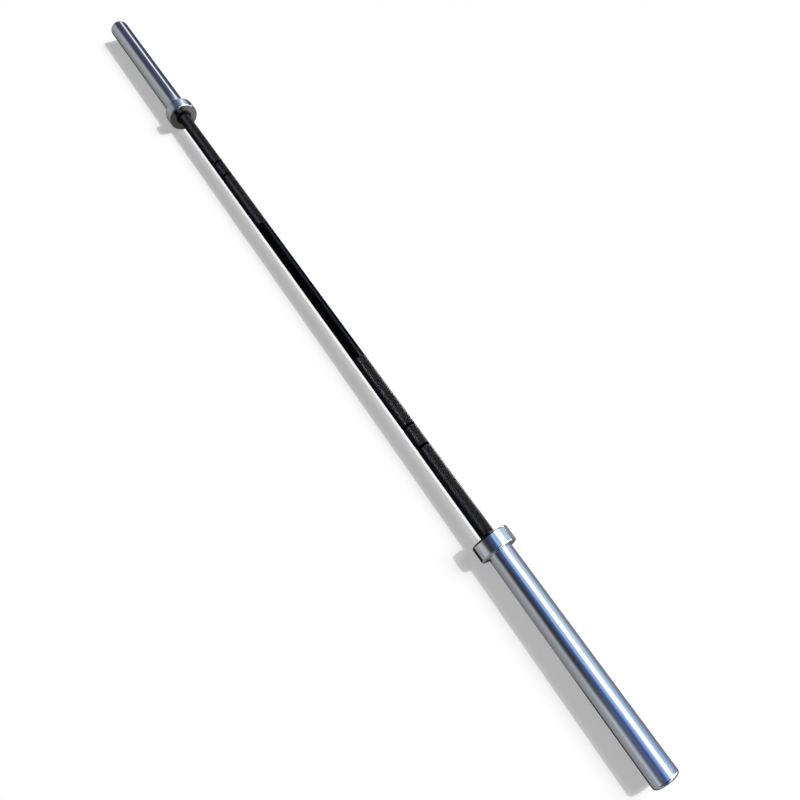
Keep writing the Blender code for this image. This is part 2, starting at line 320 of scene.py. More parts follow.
def swept(sections: np.ndarray, closed: bool, poles: np.ndarray | None = None) -> Surface:
    """A surface through sections that follow one another.

    Args:
        sections: An array of section by point by (x, y, z), each section a closed loop.
        closed: True where the last section joins the first. Otherwise a fan about a pole
            closes each end.
        poles: The two poles. Left out, they are the middles of the end sections.

    Returns:
        The closed surface.
    """
    count, size = sections.shape[:2]
    points = sections.reshape(-1, 3)
    quads = grid_faces(count, size, loop_rows=closed)
    if closed:
        return Surface(points, quads, NO_TRIANGLES).outward()
    column = np.arange(size)
    beside = (column + 1) % size
    last = (count - 1) * size
    fans = (
        np.stack((np.full(size, len(points)), beside, column), -1),
        np.stack((np.full(size, len(points) + 1), last + column, last + beside), -1),
    )
    if poles is None:
        poles = sections[[0, -1]].mean(axis=1)
    return Surface(np.concatenate((points, poles)), quads, np.concatenate(fans)).outward()


def turned(outline: np.ndarray, side: Side, segments: int = LARGE_SEGMENTS) -> Surface:
    """A surface turned about the bar's axis: a ring of points for each point of an outline.

    Args:
        outline: (station, radius) points. One that starts and ends on the axis gets a pole
            there at each end, and any other is a closed loop.
        side: The end of the bar that it belongs to.
        segments: How many facets a full turn has.

    Returns:
        The closed surface.
    """
    solid = outline[0, 1] == 0
    rings = outline[1:-1] if solid else outline
    angle = 2 * math.pi * np.arange(segments) / segments
    sections = about_axis(side, rings[:, :1], rings[:, 1:], angle)
    poles = about_axis(side, outline[[0, -1], 0], 0.0, 0.0)
    return swept(sections, not solid, poles)


class Place(NamedTuple):
    """A point on a turned piece: its Object coordinate, its place along the bar, its radius."""

    point: bpy.types.NodeSocket
    along: bpy.types.NodeSocket
    radius: bpy.types.NodeSocket


class PaintedShadeRim(NamedTuple):
    """A rim painted dark as shade: between two places along X, and farther out than a radius.

    The places have their sign, so a rim is on one side of the bar alone. Its dark colour is painted
    shade that dims the metal's bright reflection there.
    """

    along: tuple[float, float]
    radius: float
    colour: Colour


class Recipe:
    """Adds nodes to a node tree and links them."""

    def __init__(self, tree: bpy.types.NodeTree) -> None:
        """Keeps the tree that the nodes go into."""
        self.tree = tree

    def node(self, kind: str, **settings: object) -> bpy.types.Node:
        """Adds a node.

        Args:
            kind: The node's type, such as "ShaderNodeBump".
            **settings: Properties of the node and their values.

        Returns:
            The new node.
        """
        item = self.tree.nodes.new(kind)
        for name, value in settings.items():
            setattr(item, name, value)
        return item

    def feed(self, target: bpy.types.NodeSocket, source: object) -> None:
        """Links a socket to an input, or sets the input to a plain value.

        Args:
            target: The input socket.
            source: An output socket, or the value itself.
        """
        if isinstance(source, bpy.types.NodeSocket):
            self.tree.links.new(source, target)
        else:
            target.default_value = source

    def math(self, operation: str, *values: object) -> bpy.types.NodeSocket:
        """A Math node.

        Args:
            operation: What it works out, such as "ADD".
            *values: Its inputs, each a socket or a number.

        Returns:
            The socket of the result.
        """
        item = self.node("ShaderNodeMath", operation=operation)
        for target, value in zip(item.inputs, values):
            self.feed(target, value)
        return item.outputs[0]

    def place(self) -> Place:
        """The parts of the Object coordinate that patterns on a turned piece follow.

        Returns:
            The point, its X, and its distance from the X axis.
        """
        point = self.node("ShaderNodeTexCoord").outputs["Object"]
        split = self.node("ShaderNodeSeparateXYZ")
        self.feed(split.inputs[0], point)
        across, up = split.outputs[1], split.outputs[2]
        squares = (self.math("MULTIPLY", across, across), self.math("MULTIPLY", up, up))
        radius = self.math("SQRT", self.math("ADD", *squares))
        return Place(point, split.outputs[0], radius)

    def noise(
        self, source: bpy.types.NodeSocket, scale: float = 1.0, detail: float = 2.0,
        line: bool = False,
    ) -> bpy.types.NodeSocket:
        """A Noise texture's value, from 0 to 1.

        Args:
            source: A point, or a number where line is True.
            scale: Cells per metre.
            detail: How many finer layers are added.
            line: True for a pattern that runs along one number.

        Returns:
            The socket of the value.
        """
        item = self.node("ShaderNodeTexNoise", noise_dimensions="1D" if line else "3D")
        self.feed(item.inputs["W" if line else "Vector"], source)
        item.inputs["Scale"].default_value = scale
        item.inputs["Detail"].default_value = detail
        return item.outputs[0]

    def on_painted_shade_rim(self, place: Place, paintedshaderim: PaintedShadeRim) -> bpy.types.NodeSocket:
        """Whether a point is on a rim of painted shade.

        Args:
            place: The point.
            rim: The rim.

        Returns:
            The socket of a number, 1 on the rim and 0 elsewhere.
        """
        start, end = paintedshaderim.along
        past_start = self.math("GREATER_THAN", place.along, start)
        before_end = self.math("LESS_THAN", place.along, end)
        far_out = self.math("GREATER_THAN", place.radius, paintedshaderim.radius)
        return self.math("MULTIPLY", self.math("MULTIPLY", past_start, before_end), far_out)

    def stretched(self, point: bpy.types.NodeSocket, factors: Triple) -> bpy.types.NodeSocket:
        """A point with each of its axes scaled.

        Args:
            point: The point.
            factors: What X, Y and Z are multiplied by.

        Returns:
            The socket of the scaled point.
        """
        item = self.node("ShaderNodeMapping")
        self.feed(item.inputs["Vector"], point)
        item.inputs["Scale"].default_value = factors
        return item.outputs[0]

    def between(self, share: bpy.types.NodeSocket, low: object, high: object) -> bpy.types.NodeSocket:
        """A number between two values.

        Args:
            share: Where it lies, from 0 to 1.
            low: The value at 0.
            high: The value at 1.

        Returns:
            The socket of the number.
        """
        item = self.node("ShaderNodeMapRange")
        self.feed(item.inputs["Value"], share)
        self.feed(item.inputs["To Min"], low)
        self.feed(item.inputs["To Max"], high)
        return item.outputs[0]

    def mixed(self, share: object, low: object, high: object) -> bpy.types.NodeSocket:
        """A colour between two colours.

        Args:
            share: Where it lies, from 0 to 1.
            low: The colour at 0, a socket or red, green and blue.
            high: The colour at 1, likewise.

        Returns:
            The socket of the colour.
        """
        item = self.node("ShaderNodeMix", data_type="RGBA")
        self.feed(item.inputs[0], share)
        for index, value in ((MIX_LOW, low), (MIX_HIGH, high)):
            plain = not isinstance(value, bpy.types.NodeSocket)
            self.feed(item.inputs[index], (*value, 1) if plain else value)
        return item.outputs[MIX_RESULT]

    def bump(
        self, height: bpy.types.NodeSocket, depth: float, under: bpy.types.NodeSocket | None = None,
    ) -> bpy.types.NodeSocket:
        """A normal bent by a height pattern.

        Args:
            height: The pattern, from 0 to 1.
            depth: How deep the pattern is, in metres.
            under: A normal that it is added to.

        Returns:
            The socket of the normal.
        """
        item = self.node("ShaderNodeBump")
        item.inputs["Distance"].default_value = depth
        self.feed(item.inputs["Height"], height)
        if under is not None:
            self.feed(item.inputs["Normal"], under)
        return item.outputs[0]


def new_material(name: str, colour: Colour) -> tuple[bpy.types.Material, Recipe, bpy.types.Node]:
    """A node material with a Principled shader.

    Args:
        name: The material's name.
        colour: Its plain colour in the viewport.

    Returns:
        The material, the recipe that adds to its tree, and the shader.
    """
    material = bpy.data.materials.new(name)
    material.use_nodes = True
    material.diffuse_color = (*colour, 1)
    return material, Recipe(material.node_tree), material.node_tree.nodes["Principled BSDF"]


@dataclass(frozen=True)
class TurnedMetal:
    """Metal off a lathe: turning marks along the bar and on its faces, and a slow waviness.

    colour and second are the two tones that a slow pattern mixes. rough and polished are the
    roughest and smoothest spots. marks and waves are depths in metres, and pitch is how many
    marks there are in a metre. clouds and swell hold how many patches of tone and how many
    waves there are in a metre along X, Y and Z. pits is the depth of fine pitting, pit_pitch
    its dots in a metre. facing is how many times deeper the marks on a face are. rim is an
    edge painted with a dark colour as shade, which dims its reflection.
    """

    name: str
    colour: Colour
    second: Colour
    polished: float
    rough: float
    metallic: float = 1.0
    marks: float = 4e-6
    pitch: float = 900.0
    waves: float = 2e-4
    clouds: Triple = (9, 60, 60)
    swell: Triple = (14, 70, 70)
    pits: float = 0.0
    pit_pitch: float = 2600.0
    specular: float = 0.5
    facing: float = 1.0
    paintedshaderim: PaintedShadeRim | None = None

    def material(self) -> bpy.types.Material:
        """The finish as a node material on Object coordinates.

        Returns:
            The material.
        """
        material, recipe, shader = new_material(self.name, self.colour)
        place = recipe.place()
        tone = recipe.noise(recipe.stretched(place.point, self.clouds), detail=3.0)
        colour = recipe.mixed(tone, self.colour, self.second)
        # Painted shade: on the rim, the metal's colour gives way to the rim's dark colour, which dims
        # its reflection.
        if self.paintedshaderim is not None:
            colour = recipe.mixed(recipe.on_painted_shade_rim(place, self.paintedshaderim), colour, self.paintedshaderim.colour)
        recipe.feed(shader.inputs["Base Color"], colour)
        recipe.feed(shader.inputs["Roughness"], recipe.between(tone, self.polished, self.rough))
        shader.inputs["Metallic"].default_value = self.metallic
        shader.inputs["Specular IOR Level"].default_value = self.specular
        lines = recipe.noise(place.along, self.pitch, line=True)
        rings = recipe.noise(place.radius, self.pitch, line=True)
        rings = recipe.math("MULTIPLY", rings, self.facing)
        swell = recipe.noise(recipe.stretched(place.point, self.swell), detail=1.0)
        normal = recipe.bump(swell, self.waves)
        normal = recipe.bump(recipe.math("ADD", lines, rings), self.marks, normal)
        if self.pits:
            dots = recipe.noise(place.point, self.pit_pitch, detail=3.0)
            normal = recipe.bump(dots, self.pits, normal)
        recipe.feed(shader.inputs["Normal"], normal)
        return material


SLEEVE_CHROME = TurnedMetal("sleeve_chrome", (0.58, 0.59, 0.61), (0.61, 0.62, 0.64), 0.045, 0.075)
# Painted shade: a near-black rim on the near collar's inner rounding dims its bright reflection to a
# grey outline; the far collar keeps its plain chrome.
COLLAR_CHROME = TurnedMetal(
    "collar_chrome", (0.57, 0.58, 0.60), (0.61, 0.62, 0.64), 0.05, 0.09, marks=6e-6, facing=3.0,
    paintedshaderim=PaintedShadeRim((0.6549, 0.6574), 0.0352, (0.035, 0.035, 0.035)),
)
CAP_STEEL = TurnedMetal(
    "cap_steel", (0.50, 0.51, 0.53), (0.56, 0.57, 0.58), 0.14, 0.22, marks=1.6e-5, pitch=1400,
)
SHAFT_BLACK = TurnedMetal(
    "shaft_black", (0.0008, 0.0008, 0.0012), (0.0014, 0.0014, 0.0018), 0.10, 0.14, metallic=0.0,
    marks=2e-6, waves=1e-4, specular=0.25,
)
KNURL_BLACK = TurnedMetal(
    "knurl_black", (0.0026, 0.0024, 0.0030), (0.0064, 0.0060, 0.0072), 0.30, 0.40, metallic=0.0,
    marks=2e-6, waves=4e-4, swell=(220, 220, 220), pits=3e-6, specular=0.32,
)
MARK_BLACK = TurnedMetal(
    "mark_black", (0.0008, 0.0008, 0.0009), (0.0016, 0.0016, 0.0018), 0.45, 0.55, metallic=0.0,
    marks=2e-6, waves=1e-5, specular=0.0,
)
BRONZE = TurnedMetal(
    "bronze", (0.19, 0.10, 0.07), (0.28, 0.15, 0.10), 0.28, 0.42, marks=1.2e-5, pits=6e-6,
)
WASHER_STEEL = TurnedMetal(
    "washer_steel", (0.035, 0.035, 0.040), (0.06, 0.06, 0.065), 0.34, 0.50, metallic=0.9,
    marks=1e-5,
)
SPRING_STEEL = TurnedMetal(
    "spring_steel", (0.06, 0.06, 0.065), (0.10, 0.10, 0.105), 0.32, 0.46, marks=2e-6, pits=3e-6,
)
SEAL_RUBBER = TurnedMetal(
    "seal_rubber", (0.012, 0.012, 0.012), (0.020, 0.020, 0.020), 0.62, 0.80, metallic=0.0,
    marks=0.0, waves=1e-5, pits=8e-6,
)


class Workshop:
    """Turns surfaces into pieces of the bar, each with its finish and body."""

    def __init__(self) -> None:
        """Starts with no material made."""
        self.materials: dict[str, bpy.types.Material] = {}

    def dressed(self, finish: TurnedMetal) -> bpy.types.Material:
        """A finish's material, made the first time that it is asked for.

        Args:
            finish: The finish.

        Returns:
            Its one material.
        """
        if finish.name not in self.materials:
            self.materials[finish.name] = finish.material()
        return self.materials[finish.name]

    def piece(
        self, name: str, surface: Surface, finish: TurnedMetal, slot: str, body: str,
        nodes: Sequence[str] = (), shading: Shading = Shading.SMOOTH,
    ) -> None:
        """Makes a piece at the origin, with its place in its mesh.

        Args:
            name: The piece's name.
            surface: Its closed surface.
            finish: What it is finished in.
            slot: The record's material slot of that finish; not used.
            body: The CAD body that it moves with.
            nodes: The CAD nodes that it stands for.
            shading: Whether its facets are smoothed.
        """
        mesh = surface.to_mesh(name)
        if shading is Shading.SMOOTH:
            mesh.shade_smooth()
            mesh.set_sharp_from_angle(angle=SHARP_ANGLE)
        else:
            mesh.shade_flat()
        mesh.materials.append(self.dressed(finish))
        item = bpy.data.objects.new(name, mesh)
        bpy.context.scene.collection.objects.link(item)
        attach(item, body)
        if nodes:
            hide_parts(*nodes)
        LOG.info("%s: %d faces on %s", name, len(mesh.polygons), body)


@dataclass(frozen=True)
class KnurlBand:
    """A band of knurling: staggered blunt diamonds pressed round the shaft.

    start and end are stations. edge, valley and crest are the radii of the band's rim, of the
    grooves between diamonds and of their tops. core is the radius of the band's hidden inner
    wall. pitch is a diamond's length along the bar, count how many stand side by side round
    it, and blunt is the size of a diamond's flat top as a share of its foot.
    """

    start: float
    end: float
    edge: float
    valley: float
    crest: float
    core: float
    pitch: float = 0.0024
    count: int = 66
    blunt: float = 0.36

    def surface(self, side: Side) -> Surface:
        """The band as a closed tube.

        Columns of groove points stand half a pitch apart, each turned by half a diamond from
        the one before, so that the four points round a place between them are the foot of a
        diamond. Its top is the same four points drawn in by the blunt share and raised.
        Triangles close the gaps at both rims, and walls join them to the hidden tube.

        Args:
            side: The end of the bar that the band is on.

        Returns:
            The closed surface.
        """
        columns = 2 * round((self.end - self.start) / self.pitch)
        step = (self.end - self.start) / columns
        turn = 2 * math.pi / self.count
        j = np.arange(self.count)[None, :]
        k = np.arange(columns + 1)[:, None]
        floor = np.where((k == 0) | (k == columns), self.edge, self.valley)
        feet = about_axis(side, self.start + k * step, floor, (j + 0.5 * ((k + 1) % 2)) * turn)

        i = np.arange(1, columns)[:, None]
        middle = (j + 0.5 * (i % 2)) * turn
        across, along = self.blunt * turn / 2, self.blunt * step
        tops = np.stack([
            about_axis(side, self.start + i * step + dx, self.crest, middle + da)
            for dx, da in ((-along, 0), (0, across), (along, 0), (0, -across))
        ], axis=2)

        walls = [
            about_axis(side, station, self.core, (j + 0.5) * turn)
            for station in (self.start, self.end)
        ]
        points = np.concatenate([part.reshape(-1, 3) for part in (feet, tops, *walls)])

        top_start = (columns + 1) * self.count
        top = top_start + 4 * ((i - 1) * self.count + j)
        upper = (j + i % 2) % self.count
        left, right = (i - 1) * self.count + j, (i + 1) * self.count + j
        up, down = i * self.count + upper, i * self.count + (upper - 1) % self.count
        feet_of = (left, up, right, down)
        quads = [(top, top + 1, top + 2, top + 3)]
        for index in range(4):
            after = (index + 1) % 4
            quads.append((feet_of[index], feet_of[after], top + after, top + index))

        beside = (j + 1) % self.count
        near_wall = top_start + 4 * (columns - 1) * self.count
        far_wall = near_wall + self.count
        far = columns * self.count
        quads += [
            (beside, j, near_wall + j, near_wall + beside),
            (far + j, far + beside, far_wall + beside, far_wall + j),
            (near_wall + beside, near_wall + j, far_wall + j, far_wall + beside),
        ]
        last = (columns - 1) * self.count + (j + (columns - 1) % 2) % self.count
        triangles = [(beside, self.count + beside, j), (far + j, last, far + beside)]
        return Surface(points, self.stacked(quads), self.stacked(triangles)).outward()

    @staticmethod
    def stacked(faces: Sequence[tuple[np.ndarray, ...]]) -> np.ndarray:
        """Faces given as arrays of corner indices, as one array with a face in each row."""
        rows = [np.stack(np.broadcast_arrays(*face), axis=-1) for face in faces]
        return np.concatenate([row.reshape(-1, row.shape[-1]) for row in rows])


@dataclass
class Shaft:
    """The one-piece shaft: smooth centre, knurling, ring marks and a journal at each end.

    smooth_half, knurl_end and shoulder are the stations where the smooth centre, the knurling
    and the thick part end. ring_marks and groove are stations, and journal, nominal, crest,
    valley and mark_floor radii. The knurled bands lie on a seat at knurl_seat, and their
    hidden inner walls at knurl_core.
    """

    workshop: Workshop
    journal: float = 0.0125
    shoulder: float = 0.6559
    shoulder_edge: float = 0.0006
    smooth_half: float = 0.2150
    knurl_end: float = 0.6490
    ring_marks: tuple[float, float] = (0.3975, 0.4480)
    ring_mark_width: float = 0.0065
    nominal: float = 0.01425
    crest: float = 0.01452
    valley: float = 0.01420
    mark_floor: float = 0.01395
    knurl_seat: float = 0.0138
    knurl_core: float = 0.0134
    groove: tuple[float, float] = (1.0770, 1.0791)
    groove_floor: float = 0.0113
    end_edge: float = 0.0015

    def half_outline(self) -> list[Corner]:
        """Half of the shaft's outline, with a seat sunk for the knurled bands.

        Returns:
            Corners from the smooth centre to one end.
        """
        end = Extent.of("shaft").outer
        return [
            Corner(self.smooth_half, self.nominal, FINE_EDGE),
            Corner(self.smooth_half, self.knurl_seat),
            Corner(self.knurl_end, self.knurl_seat),
            Corner(self.knurl_end, self.nominal, FINE_EDGE),
            Corner(self.shoulder, self.nominal, self.shoulder_edge),
            Corner(self.shoulder, self.journal, BROKEN_EDGE),
            Corner(self.groove[0], self.journal, CRISP_EDGE),
            Corner(self.groove[0], self.groove_floor, FINE_EDGE),
            Corner(self.groove[1], self.groove_floor, FINE_EDGE),
            Corner(self.groove[1], self.journal, CRISP_EDGE),
            Corner(end, self.journal, self.end_edge),
            Corner(end, 0),
        ]

    def mark(self, side: Side, place: str, station: float) -> None:
        """Makes a ring mark: the plain floor between two knurled bands.

        Args:
            side: The end of the bar that it is on.
            place: "inner" or "outer".
            station: Its middle.
        """
        half = self.ring_mark_width / 2 + GAP
        corners = [
            Corner(station - half, self.knurl_core), Corner(station - half, self.mark_floor),
            Corner(station + half, self.mark_floor), Corner(station + half, self.knurl_core),
        ]
        self.workshop.piece(
            f"mark_{place}_{side.word}", turned(rounded(corners), side), MARK_BLACK,
            "shaft_black", "shaft",
        )

    def build(self) -> None:
        """Makes the core, which stands for the CAD shaft, its ring marks and knurled bands."""
        half = self.half_outline()
        mirrored = [Corner(-corner.station, *corner[1:]) for corner in reversed(half)]
        core = turned(rounded(mirrored + half, closed=False), Side.RIGHT)
        self.workshop.piece("bar_shaft", core, SHAFT_BLACK, "shaft_black", "shaft", ["shaft"])
        half_mark = self.ring_mark_width / 2
        starts = [self.smooth_half, *(mark + half_mark for mark in self.ring_marks)]
        ends = [*(mark - half_mark for mark in self.ring_marks), self.knurl_end]
        for side in Side:
            for place, station in zip(("inner", "outer"), self.ring_marks):
                self.mark(side, place, station)
            for place, start, end in zip(("centre", "ring", "collar"), starts, ends):
                band = KnurlBand(
                    start, end, self.nominal, self.valley, self.crest, self.knurl_core,
                )
                self.workshop.piece(
                    f"knurl_{place}_{side.word}", band.surface(side), KNURL_BLACK, "shaft_black",
                    "shaft", shading=Shading.FACETED,
                )


@dataclass
class SleeveShell:
    """The outside of one turning end: the chrome tube and the collar on it.

    bushing_seat, bore, cavity, cap_bore, cap_groove_floor and lip_bore are radii inside the
    tube and the collar. inner_bushing_out, outer_bushing_in, cavity_floor, cap_ledge and
    cap_groove are the stations between them, and lip is how thick the collar's lip is.
    """

    workshop: Workshop
    side: Side
    bushing_seat: float = 0.0163
    bore: float = 0.0151
    inner_bushing_out: float = 0.7013
    outer_bushing_in: float = 1.0298
    cavity_floor: float = 1.0698
    cavity: float = 0.0178
    cap_bore: float = 0.01905
    cap_ledge: float = 1.0871
    cap_groove: tuple[float, float] = (1.0954, 1.0975)
    cap_groove_floor: float = 0.02025
    start_edge: float = 0.0006
    end_round: float = 0.0044
    mouth_edge: float = 0.0005
    lip_bore: float = 0.0208
    lip: float = 0.006
    collar_inner_round: float = 0.0030
    collar_outer_round: float = 0.0042

    def tube(self) -> None:
        """Makes the sleeve: a seat for a bushing at each end, the cap's mouth, a rounded end."""
        size = Extent.of(f"sleeve_{self.side.word}")
        low, high = self.cap_groove
        corners = [
            Corner(size.inner, self.bushing_seat, BROKEN_EDGE),
            Corner(size.inner, size.radius, self.start_edge),
            Corner(size.outer, size.radius, self.end_round),
            Corner(size.outer, self.cap_bore, self.mouth_edge),
            Corner(high, self.cap_bore, CRISP_EDGE),
            Corner(high, self.cap_groove_floor, FINE_EDGE),
            Corner(low, self.cap_groove_floor, FINE_EDGE),
            Corner(low, self.cap_bore, CRISP_EDGE),
            Corner(self.cap_ledge, self.cap_bore, FINE_EDGE),
            Corner(self.cap_ledge, self.cavity, BROKEN_EDGE),
            Corner(self.cavity_floor, self.cavity, BROKEN_EDGE),
            Corner(self.cavity_floor, self.bushing_seat, FINE_EDGE),
            Corner(self.outer_bushing_in, self.bushing_seat, FINE_EDGE),
            Corner(self.outer_bushing_in, self.bore, BROKEN_EDGE),
            Corner(self.inner_bushing_out, self.bore, BROKEN_EDGE),
            Corner(self.inner_bushing_out, self.bushing_seat, FINE_EDGE),
        ]
        self.workshop.piece(
            f"tube_{self.side.word}", turned(rounded(corners), self.side), SLEEVE_CHROME,
            "sleeve_chrome", self.side.body, [f"sleeve_{self.side.word}"],
        )

    def collar(self) -> None:
        """Makes the collar: both edges rounded, the outer one more, and the lip."""
        size = Extent.of(f"collar_{self.side.word}")
        tube_bore = Extent.of(f"sleeve_{self.side.word}").radius + GAP
        lip_end = size.inner + self.lip
        corners = [
            Corner(size.inner, self.lip_bore, EASED_EDGE),
            Corner(size.inner, size.flats, self.collar_inner_round),
            Corner(size.outer, size.flats, self.collar_outer_round),
            Corner(size.outer, tube_bore, EASED_EDGE),
            Corner(lip_end, tube_bore, BROKEN_EDGE),
            Corner(lip_end, self.lip_bore, BROKEN_EDGE),
        ]
        self.workshop.piece(
            f"ring_{self.side.word}", turned(rounded(corners), self.side), COLLAR_CHROME,
            "collar_chrome", self.side.body, [f"collar_{self.side.word}"],
        )

    def build(self) -> None:
        """Makes the tube and the collar."""
        self.tube()
        self.collar()


@dataclass
class Bearings:
    """The bronze bushings and thrust washers inside one sleeve, and the wave washer.

    bore and bushing are the bushings' inner and outer radius. The inner one's flange ends at
    the station inner_flange_end, and its dish, of radius inner_dish, has its floor at
    inner_dish_floor. The outer one's flange starts at outer_flange_start. wave_sheet is how
    thick the wave washer is, wave_count how many waves it has and wave_steps how many sections.
    """

    workshop: Workshop
    side: Side
    bore: float = 0.0128
    bushing: float = 0.016
    bushing_edge: float = 4e-4
    inner_flange_end: float = 0.6610
    inner_dish_floor: float = 0.6585
    inner_dish: float = 0.0173
    outer_flange_start: float = 1.0701
    washer_edge: float = 3e-4
    wave_sheet: float = 0.0005
    wave_count: int = 3
    wave_steps: int = 192

    def inner_bushing(self) -> None:
        """Makes the bushing at the collar, whose dished flange shows as a ring."""
        node = f"inner_bushing_{self.side.word}"
        size = Extent.of(node)
        corners = [
            Corner(self.inner_dish_floor, self.bore, BROKEN_EDGE),
            Corner(self.inner_dish_floor, self.inner_dish, FINE_EDGE),
            Corner(size.inner, self.inner_dish, BROKEN_EDGE),
            Corner(size.inner, size.radius, self.bushing_edge),
            Corner(self.inner_flange_end, size.radius, FINE_EDGE),
            Corner(self.inner_flange_end, self.bushing, BROKEN_EDGE),
            Corner(size.outer, self.bushing, self.bushing_edge),
            Corner(size.outer, self.bore, EASED_EDGE),
        ]
        self.put(node, corners, BRONZE, "bronze")

    def outer_bushing(self) -> None:
        """Makes the bushing near the bar's end, with the flange that takes the thrust."""
        node = f"outer_bushing_{self.side.word}"
        size = Extent.of(node)
        corners = [
            Corner(size.inner, self.bore, EASED_EDGE),
            Corner(size.inner, self.bushing, self.bushing_edge),
            Corner(self.outer_flange_start, self.bushing, BROKEN_EDGE),
            Corner(self.outer_flange_start, size.radius, BROKEN_EDGE),
            Corner(size.outer, size.radius, self.bushing_edge),
            Corner(size.outer, self.bore, BROKEN_EDGE),
        ]
        self.put(node, corners, BRONZE, "bronze")

    def thrust_washer(self, place: str) -> None:
        """Makes a flat thrust washer.

        Args:
            place: "inner" for the one at the collar, "outer" for the one near the bar's end.
        """
        node = f"{place}_thrust_washer_{self.side.word}"
        size = Extent.of(node)
        corners = [
            Corner(size.inner, self.bore, FINE_EDGE),
            Corner(size.inner, size.radius, self.washer_edge),
            Corner(size.outer, size.radius, self.washer_edge),
            Corner(size.outer, self.bore, FINE_EDGE),
        ]
        self.put(node, corners, WASHER_STEEL, "washer_steel")

    def put(self, node: str, corners: Sequence[Corner], finish: TurnedMetal, slot: str) -> None:
        """Turns corners into the piece that stands for a CAD node of this sleeve."""
        surface = turned(rounded(corners), self.side, SMALL_SEGMENTS)
        self.workshop.piece(f"fine_{node}", surface, finish, slot, self.side.body, [node])

    def wave_washer(self) -> None:
        """Makes the spring washer, whose sheet rises and falls in even waves round the shaft.

        The section at angle a is a rounded rectangle, moved along the bar by the wave's height
        times cos(waves * a).
        """
        node = f"wave_washer_{self.side.word}"
        size = Extent.of(node)
        height = (size.outer - size.inner - self.wave_sheet) / 2
        half = self.wave_sheet / 2
        outer = size.radius
        section = rounded([
            Corner(-half, self.bore, FINE_EDGE), Corner(-half, outer, FINE_EDGE),
            Corner(half, outer, FINE_EDGE), Corner(half, self.bore, FINE_EDGE),
        ])
        angle = 2 * math.pi * np.arange(self.wave_steps)[:, None] / self.wave_steps
        middle = (size.inner + size.outer) / 2 + height * np.cos(self.wave_count * angle)
        sections = about_axis(self.side, middle + section[:, 0], section[:, 1], angle)
        self.workshop.piece(
            f"fine_{node}", swept(sections, closed=True), SPRING_STEEL, "spring_steel", "shaft",
            [node],
        )

    def build(self) -> None:
        """Makes all the bearings of this sleeve."""
        self.inner_bushing()
        self.outer_bushing()
        self.thrust_washer("inner")
        self.thrust_washer("outer")
        self.wave_washer()


@dataclass
class SnapRing:
    """An open spring ring with a round eared lug and a hole at each end.

    inner and outer are its stations. plain is the radius of its smooth edge, and width how
    wide its band is, positive where the lugs stand outwards of that edge and negative where
    they stand inwards. gap is the angle from the top to a lug, lug and hole are a lug's outer
    and inner radius, and edge is the rounding of the band and the lugs. The band has steps
    sections, and it ends hole_clearance times the hole's radius and rounding from its middle.
    """

    side: Side
    inner: float
    outer: float
    plain: float
    width: float
    gap: float = math.radians(8)
    lug: float = 0.0023
    hole: float = 0.0009
    edge: float = 1.5e-4
    hole_clearance: float = 1.15
    steps: int = 144

    def surface(self) -> Surface:
        """The band, swept round the axis, and a lug turned about its own hole at each end.

        Returns:
            The three closed surfaces as one.
        """
        low, high = sorted((self.plain, self.plain + self.width))
        section = rounded([
            Corner(self.inner, low, self.edge), Corner(self.inner, high, self.edge),
            Corner(self.outer, high, self.edge), Corner(self.outer, low, self.edge),
        ])
        reach = self.plain + math.copysign(self.lug, self.width)
        centre = self.gap + self.lug / reach
        start = centre + (self.hole + self.edge) * self.hole_clearance / reach
        angle = np.linspace(start, 2 * math.pi - start, self.steps)[:, None]
        band = swept(about_axis(self.side, section[:, 0], section[:, 1], angle), closed=False)
        return Surface.joined([band, self.lug_at(reach, centre), self.lug_at(reach, -centre)])

    def lug_at(self, reach: float, angle: float) -> Surface:
        """A lug: a short ring turned about a line along the bar, moved to its place.

        Args:
            reach: The radius of the lug's centre about the bar's axis.
            angle: Its angle from the top.

        Returns:
            The closed surface.
        """
        corners = [
            Corner(self.inner, self.hole, FINE_EDGE), Corner(self.inner, self.lug, self.edge),
            Corner(self.outer, self.lug, self.edge), Corner(self.outer, self.hole, FINE_EDGE),
        ]
        ring = turned(rounded(corners), self.side, LUG_SEGMENTS)
        ring.points = ring.points + (0, reach * math.sin(angle), reach * math.cos(angle))
        return ring


